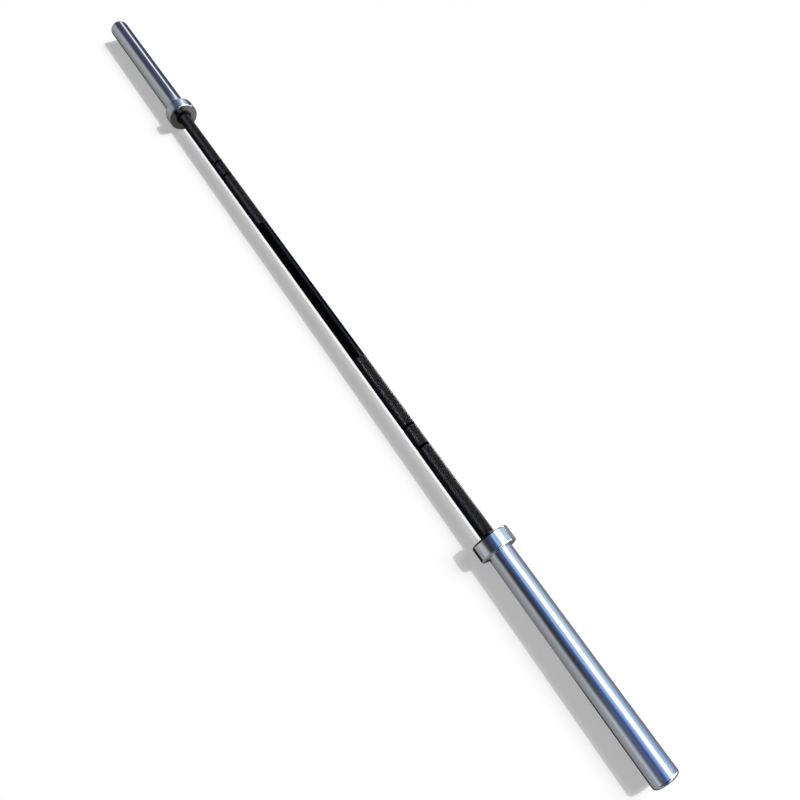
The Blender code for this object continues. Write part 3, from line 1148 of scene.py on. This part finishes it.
@dataclass
class EndFittings:
    """The shaft's snap ring, and the cap in the sleeve's end with its seal and snap ring.

    The rings are ring_width wide, from their plain edges at shaft_ring_plain and
    cap_ring_plain. The cap has a dish in its outer face, a hollow in its back and a groove
    for a seal of the size seal_section, with its floor at seal_groove_floor.
    """

    workshop: Workshop
    side: Side
    ring_width: float = 0.0028
    shaft_ring_plain: float = 0.0116
    cap_ring_plain: float = 0.01995
    dish_radius: float = 0.014
    dish_depth: float = 0.0012
    hollow_radius: float = 0.012
    hollow_depth: float = 0.004
    cap_edge: float = 6e-4
    seal_section: float = 0.0018
    seal_groove_floor: float = 0.01665
    seal_steps: int = 24

    def rings(self) -> None:
        """Makes both snap rings, one on the shaft and one in the sleeve's mouth."""
        for node, body, plain, width in (
            (f"shaft_snap_ring_{self.side.word}", "shaft", self.shaft_ring_plain, self.ring_width),
            (f"end_cap_snap_ring_{self.side.word}", self.side.body, self.cap_ring_plain,
             -self.ring_width),
        ):
            size = Extent.of(node)
            ring = SnapRing(self.side, size.inner, size.outer, plain, width)
            self.workshop.piece(
                f"fine_{node}", ring.surface(), SPRING_STEEL, "spring_steel", body, [node],
            )

    def cap(self) -> None:
        """Makes the steel plug: a dished outer face, a groove for the seal, a hollow back."""
        node = f"end_cap_{self.side.word}"
        size = Extent.of(node)
        middle = (size.inner + size.outer) / 2
        half = self.seal_section / 2 + GAP
        floor = size.outer - self.dish_depth
        corners = [
            Corner(size.inner + self.hollow_depth, 0),
            Corner(size.inner + self.hollow_depth, self.hollow_radius, SOFT_EDGE),
            Corner(size.inner, self.hollow_radius, BROKEN_EDGE),
            Corner(size.inner, size.radius, self.cap_edge),
            Corner(middle - half, size.radius, FINE_EDGE),
            Corner(middle - half, self.seal_groove_floor, BROKEN_EDGE),
            Corner(middle + half, self.seal_groove_floor, BROKEN_EDGE),
            Corner(middle + half, size.radius, FINE_EDGE),
            Corner(size.outer, size.radius, self.cap_edge),
            Corner(size.outer, self.dish_radius, EASED_EDGE),
            Corner(floor, self.dish_radius - self.dish_depth, SOFT_EDGE),
            Corner(floor, 0),
        ]
        surface = turned(rounded(corners, closed=False), self.side)
        self.workshop.piece(
            f"fine_{node}", surface, CAP_STEEL, "cap_steel", self.side.body, [node],
        )

    def seal(self) -> None:
        """Makes the rubber O-ring, a round section turned about the axis."""
        node = f"end_cap_seal_{self.side.word}"
        size = Extent.of(node)
        half = (size.outer - size.inner) / 2
        turn = 2 * math.pi * np.arange(self.seal_steps) / self.seal_steps
        middle = (size.inner + size.outer) / 2
        outline = np.stack((middle + half * np.cos(turn), size.radius - half + half * np.sin(turn)), 1)
        self.workshop.piece(
            f"fine_{node}", turned(outline, self.side, SMALL_SEGMENTS), SEAL_RUBBER,
            "seal_rubber", self.side.body, [node],
        )

    def build(self) -> None:
        """Makes the rings, the cap and the seal."""
        self.rings()
        self.cap()
        self.seal()


class Band(NamedTuple):
    """A band of what metal reflects: where it lies, and its light."""

    place: float
    light: Colour


class Lamp(NamedTuple):
    """A sun-like lamp: the direction towards it, its share of the floor's light, its width."""

    name: str
    direction: Vector
    share: float
    spread: float
    seen_in_metal: bool = True


@dataclass(frozen=True)
class Stretch:
    """What metal sees over one stretch of the sky or the ground: bands of light.

    name labels its node. turn holds the two places along X between which it turns into the
    next stretch.
    """

    name: str
    turn: tuple[float, float] | None
    bands: tuple[Band, ...]


# Sky bands run over the bar from the horizon on its -Y side at 0 degrees, through straight above
# at 90, to the horizon on its +Y side at 180. A turn lies at an X of the reflected direction.
SKIES = (
    Stretch("far beyond the near end", (0.88, 0.78), (
        Band(0, (0.05, 0.05, 0.05)), Band(100, (0.05, 0.05, 0.06)), Band(106, (2.0, 2.0, 2.0)),
        Band(131, (2.0, 2.0, 2.0)), Band(140, (0.1, 0.1, 0.12)), Band(180, (0.1, 0.1, 0.12)),
    )),
    Stretch("beyond the near end", (0.52, 0.46), (
        Band(0, (0.3, 0.34, 0.4)), Band(24, (0.3, 0.34, 0.4)), Band(36, (0.145, 0.175, 0.245)),
        Band(51, (0.14, 0.17, 0.3)), Band(65, (0.08, 0.134, 0.33)), Band(77, (0.14, 0.26, 0.62)),
        Band(87, (0.35, 0.57, 1.0)), Band(99, (0.6, 0.83, 1.16)), Band(104, (1.2, 1.4, 1.7)),
        Band(109, (2.0, 2.0, 2.0)), Band(129, (2.0, 2.0, 2.0)), Band(138, (0.6, 0.8, 1.1)),
        Band(153, (0.45, 0.62, 0.9)), Band(166, (0.2, 0.25, 0.34)), Band(180, (0.12, 0.14, 0.18)),
    )),
    Stretch("past the near end", (0.34, 0.31), (
        Band(0, (0.01, 0.01, 0.01)), Band(78, (0.01, 0.01, 0.02)), Band(96, (0.2, 0.21, 0.25)),
        Band(108, (1.6, 1.6, 1.7)), Band(122, (6.0, 5.8, 6.0)), Band(134, (15.0, 14.5, 15.0)),
        Band(146, (15.0, 14.5, 15.0)), Band(155, (0.5, 0.5, 0.55)), Band(180, (0.3, 0.3, 0.34)),
    )),
    Stretch("round the near end", (0.27, 0.235), (
        Band(0, (0.01, 0.01, 0.01)), Band(78, (0.01, 0.01, 0.02)), Band(98, (0.2, 0.21, 0.25)),
        Band(108, (3.0, 3.0, 3.1)), Band(117, (12.0, 11.6, 12.0)), Band(130, (15.0, 14.5, 15.0)),
        Band(180, (15.0, 14.5, 15.0)),
    )),
    Stretch("the near tip", (0.14, 0.04), (
        Band(0, (0.62, 0.68, 0.75)), Band(12, (0.64, 0.71, 0.78)), Band(18, (0.52, 0.58, 0.66)),
        Band(24, (0.36, 0.41, 0.48)), Band(29, (0.25, 0.29, 0.36)), Band(36, (0.145, 0.175, 0.245)),
        Band(43, (0.13, 0.155, 0.25)), Band(51, (0.14, 0.17, 0.3)), Band(58, (0.105, 0.148, 0.315)),
        Band(65, (0.08, 0.134, 0.33)), Band(72, (0.09, 0.17, 0.43)), Band(77, (0.14, 0.26, 0.62)),
        Band(82, (0.23, 0.4, 0.85)), Band(87, (0.35, 0.57, 1.0)), Band(94, (0.42, 0.64, 1.02)),
        Band(99, (0.6, 0.83, 1.16)), Band(104, (1.2, 1.4, 1.7)), Band(109, (2.0, 2.0, 2.0)),
        Band(129, (2.0, 2.0, 2.0)), Band(136, (1.0, 1.25, 1.45)), Band(145, (0.66, 0.88, 1.18)),
        Band(153, (0.51, 0.75, 1.12)), Band(163, (0.42, 0.65, 1.02)), Band(174, (0.33, 0.48, 0.72)),
        Band(182, (0.28, 0.38, 0.52)),
    )),
    Stretch("the near sleeve", (-0.1045, -0.108), (
        Band(0, (0.52, 0.54, 0.57)), Band(6, (0.54, 0.57, 0.6)), Band(12, (0.5, 0.53, 0.57)),
        Band(21, (0.26, 0.28, 0.3)), Band(28, (0.11, 0.12, 0.135)), Band(35, (0.068, 0.078, 0.092)),
        Band(42, (0.046, 0.053, 0.073)), Band(50, (0.055, 0.068, 0.115)),
        Band(58, (0.075, 0.105, 0.215)), Band(68, (0.085, 0.155, 0.37)), Band(75, (0.12, 0.24, 0.56)),
        Band(80, (0.28, 0.5, 0.92)), Band(85, (0.48, 0.74, 1.17)), Band(91, (0.46, 0.7, 1.07)),
        Band(97, (0.52, 0.76, 1.08)), Band(101, (0.85, 1.02, 1.3)), Band(107, (2.0, 2.0, 2.0)),
        Band(131, (2.0, 2.0, 2.0)), Band(138, (0.95, 1.15, 1.37)), Band(147, (0.75, 0.98, 1.23)),
        Band(157, (0.68, 0.91, 1.21)), Band(168, (0.5, 0.66, 0.88)), Band(180, (0.38, 0.45, 0.58)),
    )),
    Stretch("the near collar", (-0.138, -0.15), (
        Band(0, (0.74, 0.76, 0.79)), Band(6, (0.74, 0.76, 0.79)), Band(12, (0.62, 0.65, 0.68)),
        Band(18, (0.46, 0.48, 0.5)), Band(24, (0.17, 0.18, 0.19)), Band(30, (0.085, 0.085, 0.092)),
        Band(36, (0.07, 0.066, 0.078)), Band(42, (0.05, 0.043, 0.06)),
        Band(48, (0.048, 0.041, 0.065)), Band(54, (0.075, 0.073, 0.12)),
        Band(59, (0.078, 0.09, 0.175)), Band(65, (0.065, 0.11, 0.26)), Band(71, (0.052, 0.125, 0.34)),
        Band(76, (0.09, 0.22, 0.52)), Band(82, (0.26, 0.49, 0.88)), Band(87, (0.6, 0.94, 1.36)),
        Band(91, (0.54, 0.83, 1.22)), Band(95, (0.43, 0.7, 1.05)), Band(100, (0.49, 0.73, 1.03)),
        Band(105, (0.76, 0.97, 1.2)), Band(109, (1.5, 1.6, 1.7)), Band(112, (2.0, 2.0, 2.0)),
        Band(133, (2.0, 2.0, 2.0)), Band(138, (1.3, 1.5, 1.6)), Band(144, (0.93, 1.13, 1.32)),
        Band(151, (0.71, 0.95, 1.25)), Band(165, (0.7, 0.94, 1.22)), Band(175, (0.74, 0.93, 1.13)),
        Band(180, (0.5, 0.6, 0.72)),
    )),
    Stretch("the near grip's outer half", (-0.18, -0.2), (
        Band(0, (0.01, 0.01, 0.01)), Band(76, (0.02, 0.04, 0.08)), Band(90, (0.5, 0.7, 1.0)),
        Band(104, (0.8, 0.95, 1.1)), Band(112, (8.0, 7.8, 8.2)), Band(131, (10.0, 9.7, 10.2)),
        Band(137, (1.3, 1.4, 1.6)), Band(150, (0.8, 0.9, 1.1)), Band(180, (0.6, 0.7, 0.8)),
    )),
    Stretch("the near grip", (-0.395, -0.425), (
        Band(0, (0.01, 0.01, 0.01)), Band(84, (0.01, 0.01, 0.015)), Band(100, (0.3, 0.32, 0.38)),
        Band(112, (3.4, 3.3, 3.6)), Band(125, (6.0, 5.8, 6.2)), Band(134, (5.0, 4.9, 5.2)),
        Band(146, (0.6, 0.6, 0.65)), Band(180, (0.2, 0.2, 0.22)),
    )),
    Stretch("the smooth middle", (-0.69, -0.725), (
        Band(0, (0.015, 0.015, 0.015)), Band(60, (0.015, 0.015, 0.02)), Band(92, (0.02, 0.025, 0.05)),
        Band(106, (0.05, 0.07, 0.16)), Band(118, (0.65, 0.75, 1.3)), Band(136, (0.65, 0.75, 1.3)),
        Band(148, (0.2, 0.23, 0.42)), Band(162, (0.05, 0.06, 0.12)), Band(180, (0.03, 0.04, 0.07)),
    )),
    Stretch("the far collar", (-0.7545, -0.757), (
        Band(0, (0.47, 0.49, 0.49)), Band(15, (0.48, 0.5, 0.54)), Band(36, (0.39, 0.42, 0.48)),
        Band(46, (0.28, 0.31, 0.38)), Band(55, (0.14, 0.167, 0.23)), Band(65, (0.108, 0.133, 0.21)),
        Band(83, (0.14, 0.17, 0.285)), Band(92, (0.21, 0.23, 0.31)), Band(101, (0.36, 0.4, 0.54)),
        Band(111, (0.64, 0.69, 0.85)), Band(121, (1.05, 1.12, 1.27)), Band(131, (1.35, 1.44, 1.57)),
        Band(142, (1.1, 1.22, 1.35)), Band(155, (0.69, 0.78, 0.92)), Band(168, (0.5, 0.58, 0.68)),
        Band(180, (0.4, 0.45, 0.55)),
    )),
    Stretch("the far sleeve", (-0.84, -0.87), (
        Band(0, (0.46, 0.47, 0.47)), Band(40, (0.56, 0.6, 0.64)), Band(54, (0.3, 0.34, 0.39)),
        Band(66, (0.075, 0.088, 0.125)), Band(104, (0.085, 0.1, 0.16)), Band(128, (0.15, 0.17, 0.26)),
        Band(136, (1.45, 1.5, 1.65)), Band(146, (1.45, 1.5, 1.65)), Band(154, (0.16, 0.18, 0.27)),
        Band(180, (0.07, 0.08, 0.14)),
    )),
    Stretch("past the far end", None, (
        Band(0, (0.02, 0.02, 0.02)), Band(126, (0.04, 0.04, 0.05)), Band(135, (0.9, 0.9, 1.0)),
        Band(147, (0.9, 0.9, 1.0)), Band(156, (0.05, 0.05, 0.06)), Band(180, (0.04, 0.04, 0.05)),
    )),
)

# Ground bands are a painted reflection: to metal alone, the floor glows with them in place of its lit
# surface.
# They lie on the floor at distances from the bar along Y, and a turn at an X, in metres. The
# near-black bands under the bar are a painted contact shadow, and the very bright bands under
# the grip are painted glow that lights the knurl's edge in reflection. Turns slant away from
# the bar, as the rays do that the near sleeve and collar send there.
PAINTED_GROUNDS = (
    Stretch("by the near tip", (0.96, 0.9), (
        Band(-0.3, (0.5, 0.51, 0.54)), Band(-0.1, (0.4, 0.41, 0.43)),
        Band(-0.046, (0.32, 0.33, 0.35)), Band(-0.04, (0.02, 0.02, 0.02)),
        Band(0.03, (0.02, 0.02, 0.02)), Band(0.06, (0.22, 0.22, 0.25)), Band(0.2, (0.3, 0.32, 0.36)),
        Band(0.3, (0.32, 0.36, 0.46)),
    )),
    Stretch("by the near sleeve", (0.697, 0.69), (
        Band(-0.3, (0.5, 0.51, 0.54)), Band(-0.1, (0.39, 0.4, 0.42)), Band(-0.045, (0.3, 0.31, 0.33)),
        Band(-0.036, (0.22, 0.22, 0.22)), Band(0.03, (0.02, 0.02, 0.02)),
        Band(0.06, (0.22, 0.22, 0.25)), Band(0.2, (0.3, 0.32, 0.36)), Band(0.3, (0.32, 0.36, 0.46)),
    )),
    Stretch("by the near collar", (0.647, 0.64), (
        Band(-0.36, (0.78, 0.79, 0.81)), Band(-0.24, (0.62, 0.63, 0.65)),
        Band(-0.12, (0.44, 0.45, 0.46)), Band(-0.078, (0.46, 0.46, 0.47)),
        Band(-0.064, (0.01, 0.01, 0.01)), Band(0.03, (0.02, 0.02, 0.02)),
        Band(0.06, (0.32, 0.32, 0.34)), Band(0.2, (0.38, 0.38, 0.4)),
    )),
    Stretch("before the near collar", (0.6, 0.585), (
        Band(-0.3, (0.01, 0.01, 0.01)), Band(0.02, (0.01, 0.01, 0.01)), Band(0.035, (0.3, 0.3, 0.31)),
        Band(0.16, (0.4, 0.4, 0.42)),
    )),
    Stretch("under the near grip", (0.5, 0.45), (
        Band(-0.3, (0.01, 0.01, 0.01)), Band(0.02, (0.01, 0.01, 0.01)),
        Band(0.035, (12.0, 11.6, 12.0)), Band(0.16, (14.0, 13.6, 14.0)),
    )),
    Stretch("under the grip's inner half", (0.22, 0.19), (
        Band(-0.3, (0.01, 0.01, 0.01)), Band(0.02, (0.01, 0.01, 0.01)), Band(0.035, (9.0, 8.8, 9.0)),
        Band(0.16, (13.0, 12.6, 13.0)),
    )),
    Stretch("under the smooth middle", (-0.19, -0.22), (
        Band(-0.3, (0.08, 0.08, 0.08)), Band(-0.1, (0.06, 0.06, 0.06)),
        Band(-0.05, (0.02, 0.02, 0.02)), Band(0.04, (0.02, 0.02, 0.02)),
        Band(0.12, (0.05, 0.05, 0.06)),
    )),
    Stretch("under the far grip", (-0.54, -0.57), (
        Band(-0.3, (0.012, 0.012, 0.012)), Band(0.015, (0.012, 0.012, 0.012)),
        Band(0.12, (0.05, 0.05, 0.06)),
    )),
    Stretch("before the far collar", (-0.645, -0.652), (
        Band(-0.3, (0.1, 0.1, 0.095)), Band(0.015, (0.085, 0.083, 0.078)),
        Band(0.045, (0.26, 0.26, 0.27)), Band(0.12, (0.14, 0.14, 0.16)),
    )),
    Stretch("by the far sleeve", None, (
        Band(-0.3, (0.44, 0.45, 0.44)), Band(-0.1, (0.34, 0.35, 0.34)),
        Band(-0.05, (0.26, 0.27, 0.26)), Band(-0.04, (0.03, 0.03, 0.03)),
        Band(0.03, (0.02, 0.02, 0.02)), Band(0.06, (0.07, 0.08, 0.12)),
    )),
)


@dataclass
class Studio:
    """The pale floor, two lamps, an even fill, and what metal sees round the bar.

    floor_white is the floor's colour, floor_glow what its glow adds for the camera, and fill
    the light from all round. band_scale is the brightest light that a band may have. Bands on
    the ground, which metal sees as a painted reflection of the floor with a painted contact
    shadow under the bar, reach as far as ground_reach to both sides of the bar, and
    ground_slant is how far along X a turn moves for each metre away from it. Past ground_ends
    the ground is open_ground.
    """

    floor_reach: float = 15.0
    floor_level: float = -0.038
    floor_glow: float = 0.40
    floor_white: float = 0.60
    fill: float = 0.080
    lamps: tuple[Lamp, ...] = (
        Lamp("key_lamp", Vector((0.143, 0.522, 0.841)), 0.475, math.radians(1.2)),
        Lamp("soft_lamp", Vector((0.143, 0.587, 0.797)), 0.450, math.radians(30), False),
    )
    band_scale: float = 16.0
    ground_reach: float = 0.40
    ground_slant: float = 0.12
    ground_ends: tuple[float, float] = (1.12, 1.30)
    open_ground: Colour = (0.47, 0.48, 0.50)

    def floor(self) -> None:
        """Makes the floor: white with the bar's shadow to the eye, and ground bands to metal.

        A glow that only the camera sees adds to the light that falls on the floor, so that
        the shadow stays pale. To glossy rays the floor is black and glows with the ground bands
        instead: a painted reflection, dark in a painted contact shadow under the bar.
        """
        reach = self.floor_reach
        mesh = bpy.data.meshes.new("studio_floor")
        corners = [(x, y, self.floor_level) for x, y in ((-1, -1), (1, -1), (1, 1), (-1, 1))]
        mesh.from_pydata([(x * reach, y * reach, z) for x, y, z in corners], [], [(0, 1, 2, 3)])
        white = (self.floor_white,) * 3
        black = (0.0, 0.0, 0.0)
        material, recipe, shader = new_material("studio_floor", white)
        path = recipe.node("ShaderNodeLightPath")
        metal = path.outputs["Is Glossy Ray"]
        split = recipe.node("ShaderNodeSeparateXYZ")
        recipe.feed(split.inputs[0], recipe.node("ShaderNodeTexCoord").outputs["Object"])
        aside = recipe.math("ABSOLUTE", split.outputs[1])
        along = recipe.math("MULTIPLY_ADD", aside, self.ground_slant, split.outputs[0])
        # The ground bands: a painted reflection, with a painted contact shadow under the bar and
        # painted glow under the grip.
        ground = self.banded(recipe, PAINTED_GROUNDS, split.outputs[1], 2 * self.ground_reach, along)
        open_ground = tuple(value / self.band_scale for value in self.open_ground)
        ground = recipe.mixed(
            self.passing(recipe, split.outputs[0], self.ground_ends), ground, open_ground,
        )
        glow = (self.floor_glow / self.band_scale,) * 3
        lit = recipe.mixed(path.outputs["Is Camera Ray"], black, glow)
        # Painted reflection: glossy rays see a black floor glowing with the ground bands, not its lit
        # surface.
        recipe.feed(shader.inputs["Base Color"], recipe.mixed(metal, white, black))
        recipe.feed(shader.inputs["Emission Color"], recipe.mixed(metal, lit, ground))
        shader.inputs["Emission Strength"].default_value = self.band_scale
        shader.inputs["Roughness"].default_value = 1.0
        shader.inputs["Specular IOR Level"].default_value = 0.0
        mesh.materials.append(material)
        item = bpy.data.objects.new("studio_floor", mesh)
        bpy.context.scene.collection.objects.link(item)

    @staticmethod
    def passing(
        recipe: Recipe, value: bpy.types.NodeSocket, turn: tuple[float, float],
    ) -> bpy.types.NodeSocket:
        """A smooth step from 0 to 1.

        Args:
            recipe: What adds nodes.
            value: The number that decides.
            turn: Where the step starts and where it ends.

        Returns:
            The socket of the step.
        """
        item = recipe.node("ShaderNodeMapRange", interpolation_type="SMOOTHSTEP")
        recipe.feed(item.inputs["Value"], value)
        item.inputs["From Min"].default_value, item.inputs["From Max"].default_value = turn
        return item.outputs[0]

    def banded(
        self, recipe: Recipe, stretches: Sequence[Stretch], across: bpy.types.NodeSocket,
        width: float, along: bpy.types.NodeSocket,
    ) -> bpy.types.NodeSocket:
        """The light of the stretches' bands, where each stretch turns into the next.

        Args:
            recipe: What adds nodes.
            stretches: The stretches in order.
            across: The place that the bands are given at.
            width: How wide the run of places is, with 0 at its middle.
            along: The place that decides between the stretches.

        Returns:
            The socket of the light, divided by band_scale.
        """
        share = recipe.math("ADD", recipe.math("DIVIDE", across, width), 0.5)
        light, turn = None, None
        for stretch in stretches:
            ramp = self.ramp(recipe, share, stretch, width)
            light = ramp if turn is None else recipe.mixed(
                self.passing(recipe, along, turn), light, ramp,
            )
            turn = stretch.turn
        return light

    def light(self) -> None:
        """Makes the lamps. One of strength s lights a white floor to s * cos(tilt) / pi."""
        for lamp in self.lamps:
            direction = lamp.direction.normalized()
            data = bpy.data.lights.new(lamp.name, "SUN")
            data.energy = lamp.share * math.pi / direction.z
            data.angle = lamp.spread
            item = bpy.data.objects.new(lamp.name, data)
            item.matrix_world = direction.to_track_quat("Z", "Y").to_matrix().to_4x4()
            item.visible_glossy = lamp.seen_in_metal
            bpy.context.scene.collection.objects.link(item)

    def ramp(
        self, recipe: Recipe, where: bpy.types.NodeSocket, stretch: Stretch, width: float,
    ) -> bpy.types.NodeSocket:
        """The light of a stretch's bands at a place.

        Args:
            recipe: What adds nodes.
            where: The place along the bands, from 0 to 1.
            stretch: The stretch, whose name labels the node.
            width: How wide the run of the bands' places is, with 0 at its middle.

        Returns:
            The socket of the light, divided by band_scale.
        """
        item = recipe.node("ShaderNodeValToRGB", label=stretch.name)
        stops = item.color_ramp.elements
        while len(stops) < len(stretch.bands):
            stops.new(0.5)
        for stop, band in zip(stops, stretch.bands):
            stop.position = band.place / width + 0.5
            stop.color = (*(value / self.band_scale for value in band.light), 1)
        recipe.feed(item.inputs[0], where)
        return item.outputs[0]

    def world(self) -> None:
        """Makes the world: white to the camera, bands to metal, an even fill to the rest.

        The angle over the bar is atan2(z, -y) in degrees. Past straight down it goes on from
        -90, so that the horizon on the bar's -Y side lies in the middle of the run.
        """
        world = bpy.data.worlds.new("studio_world")
        world.use_nodes = True
        bpy.context.scene.world = world
        recipe = Recipe(world.node_tree)
        split = recipe.node("ShaderNodeSeparateXYZ")
        recipe.feed(split.inputs[0], recipe.node("ShaderNodeTexCoord").outputs["Generated"])
        towards = recipe.math("MULTIPLY", split.outputs[1], -1.0)
        turn = recipe.math("ARCTAN2", split.outputs[2], towards)
        turn = recipe.math("FLOORED_MODULO", turn, 2 * math.pi)
        turn = recipe.math("SUBTRACT", turn, recipe.math(
            "MULTIPLY", recipe.math("GREATER_THAN", turn, 1.5 * math.pi), 2 * math.pi,
        ))
        turn = recipe.math("MULTIPLY", turn, 180 / math.pi)
        bands = self.banded(recipe, SKIES, turn, 360, split.outputs[0])
        path = recipe.node("ShaderNodeLightPath")
        plain = recipe.node("ShaderNodeBackground")
        recipe.feed(plain.inputs["Color"], recipe.mixed(
            path.outputs["Is Camera Ray"], (self.fill,) * 3, (1.0, 1.0, 1.0),
        ))
        seen = recipe.node("ShaderNodeBackground")
        recipe.feed(seen.inputs["Color"], bands)
        seen.inputs["Strength"].default_value = self.band_scale
        mix = recipe.node("ShaderNodeMixShader")
        recipe.feed(mix.inputs[0], path.outputs["Is Glossy Ray"])
        recipe.feed(mix.inputs[1], plain.outputs[0])
        recipe.feed(mix.inputs[2], seen.outputs[0])
        recipe.feed(world.node_tree.nodes["World Output"].inputs["Surface"], mix.outputs[0])

    def build(self) -> None:
        """Makes the floor, the lamps and the world."""
        self.floor()
        self.light()
        self.world()
        LOG.info("studio: floor, lamps and world")


@dataclass
class Viewpoint:
    """The photograph's camera: its place in metres, its angles in degrees, and its lens."""

    place: Vector = Vector((0.8284, -0.4819, 1.2568))
    heading: float = 142.99
    pitch_down: float = 56.25
    roll: float = 5.75
    lens: float = 31.665
    sensor: float = 36.0
    shift: tuple[float, float] = (0.0566, -0.0814)

    def build(self) -> None:
        """Makes the camera and gives it to the scene.

        The heading turns from +X towards +Y, the pitch tips it down from the horizon, and the
        roll turns it about its own line of sight.
        """
        heading, pitch = math.radians(self.heading), math.radians(self.pitch_down)
        level = math.cos(pitch)
        forward = Vector((level * math.cos(heading), level * math.sin(heading), -math.sin(pitch)))
        right = Vector((math.sin(heading), -math.cos(heading), 0))
        turn = Matrix.Rotation(-math.radians(self.roll), 3, forward)
        right = turn @ right
        up = right.cross(forward)
        data = bpy.data.cameras.new("viewpoint")
        data.lens = self.lens
        data.sensor_width = self.sensor
        data.shift_x, data.shift_y = self.shift
        item = bpy.data.objects.new("viewpoint", data)
        basis = Matrix((right, up, -forward)).transposed()
        item.matrix_world = Matrix.Translation(self.place) @ basis.to_4x4()
        bpy.context.scene.collection.objects.link(item)
        bpy.context.scene.camera = item
        LOG.info("camera at %s", tuple(self.place))


def main() -> None:
    """Builds the bar's classes in order, then the studio and the camera."""
    logging.basicConfig(level=logging.INFO, format="%(name)s: %(message)s")
    bpy.context.scene.view_settings.view_transform = "Standard"
    workshop = Workshop()
    Shaft(workshop).build()
    for side in Side:
        SleeveShell(workshop, side).build()
        Bearings(workshop, side).build()
        EndFittings(workshop, side).build()
    Studio().build()
    Viewpoint().build()


if __name__ == "__main__":
    main()
